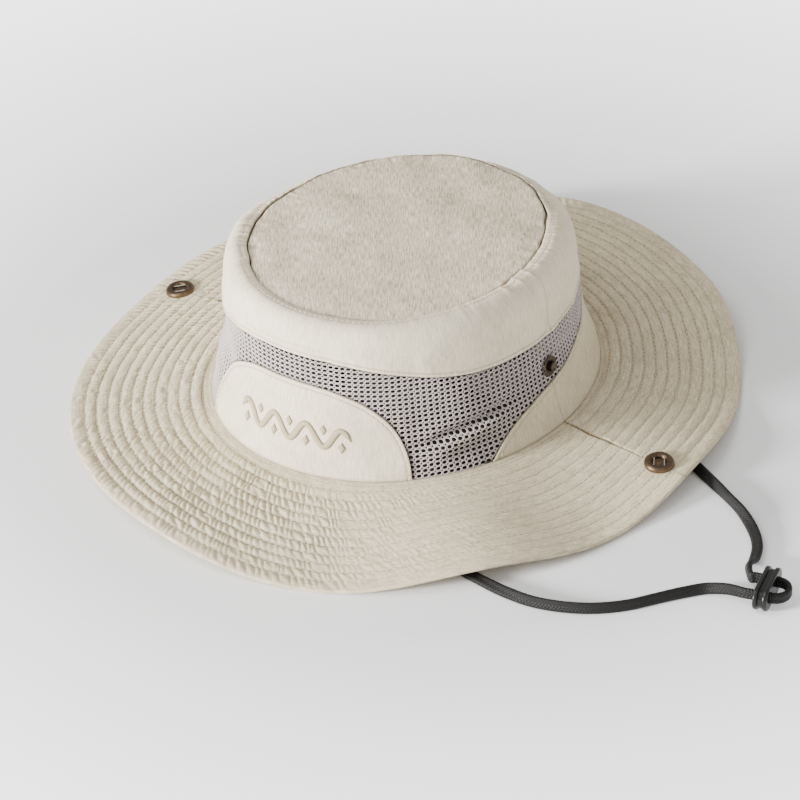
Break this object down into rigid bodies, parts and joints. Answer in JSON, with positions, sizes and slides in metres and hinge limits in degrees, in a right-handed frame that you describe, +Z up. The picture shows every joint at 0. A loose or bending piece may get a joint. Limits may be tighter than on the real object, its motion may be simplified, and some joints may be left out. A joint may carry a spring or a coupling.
{
  "type": "boonie hat",
  "caption": "Wide-brim sun hat with a stitched brim, a vented mesh crown band, side snaps that hold the brim up, and a chin cord with a slider.",
  "frame": {"origin": "centre of the brim's outline, on the surface that the hat lies on", "axes": "+Z up, -Y towards the wearer's front, +X towards the wearer's left side"},
  "size_m": [0.4082, 0.3526, 0.0918],
  "materials": {
    "tip_twill": "brushed cotton twill, soft and slightly slubby",
    "cream_twill": "smooth cotton twill",
    "brim_twill": "cotton twill, quilted with rows of lockstitch",
    "mesh_cloth": "open polyester mesh with oval holes",
    "seam_tape": "folded cotton binding tape",
    "sweatband_cloth": "folded cotton band",
    "interlining": "stiff non-woven",
    "antique_brass": "darkened, rubbed bright on the edges",
    "dark_brass": "darkened dome on a black base",
    "spring_wire": "drawn wire",
    "braided_cord": "flat braided polyester, satin",
    "slider_plastic": "glossy moulded plastic"
  },
  "bodies": {
    "hat": {"crown_top": "tip_twill", "upper_side_band": "cream_twill", "mesh_band": "mesh_cloth", "front_panel": "cream_twill", "rear_panel": "brim_twill", "tip_seam_tape": "seam_tape", "base_seam_tape": "seam_tape", "sweatband": "sweatband_cloth", "brim_top_front": "brim_twill", "brim_top_back": "brim_twill", "brim_under_front": "brim_twill", "brim_under_back": "brim_twill", "brim_interlining": "interlining", "left_crown_stud": "dark_brass", "left_stud_post": "antique_brass", "right_crown_stud": "dark_brass", "right_stud_post": "antique_brass", "chin_cord_left": "braided_cord", "chin_cord_right": "braided_cord", "cord_end_loop": "braided_cord"},
    "left_flap": {"left_flap_top_front": "brim_twill", "left_flap_top_back": "brim_twill", "left_flap_under_front": "brim_twill", "left_flap_under_back": "brim_twill", "left_flap_interlining": "interlining", "left_snap_socket": "antique_brass", "left_snap_spring": "spring_wire", "left_snap_cap": "antique_brass"},
    "right_flap": {"right_flap_top_front": "brim_twill", "right_flap_top_back": "brim_twill", "right_flap_under_front": "brim_twill", "right_flap_under_back": "brim_twill", "right_flap_interlining": "interlining", "right_snap_socket": "antique_brass", "right_snap_spring": "spring_wire", "right_snap_cap": "antique_brass"},
    "slider": {"cord_slider": "slider_plastic"}
  },
  "joints": [
    {"name": "left_flap_fold", "type": "hinge", "parent": "hat", "child": "left_flap", "pos_m": [0.105, 0, 0.0138], "axis": [0, -1, 0], "range_deg": [0, 118], "stiffness_Nm_per_rad": 0.25},
    {"name": "right_flap_fold", "type": "hinge", "parent": "hat", "child": "right_flap", "pos_m": [-0.105, 0, 0.0138], "axis": [0, 1, 0], "range_deg": [0, 120], "stiffness_Nm_per_rad": 0.25},
    {"name": "slider_slide", "type": "slide", "parent": "hat", "child": "slider", "axis": [-0.9716, -0.2366, 0], "range_m": [0, 0.004]}
  ]
}
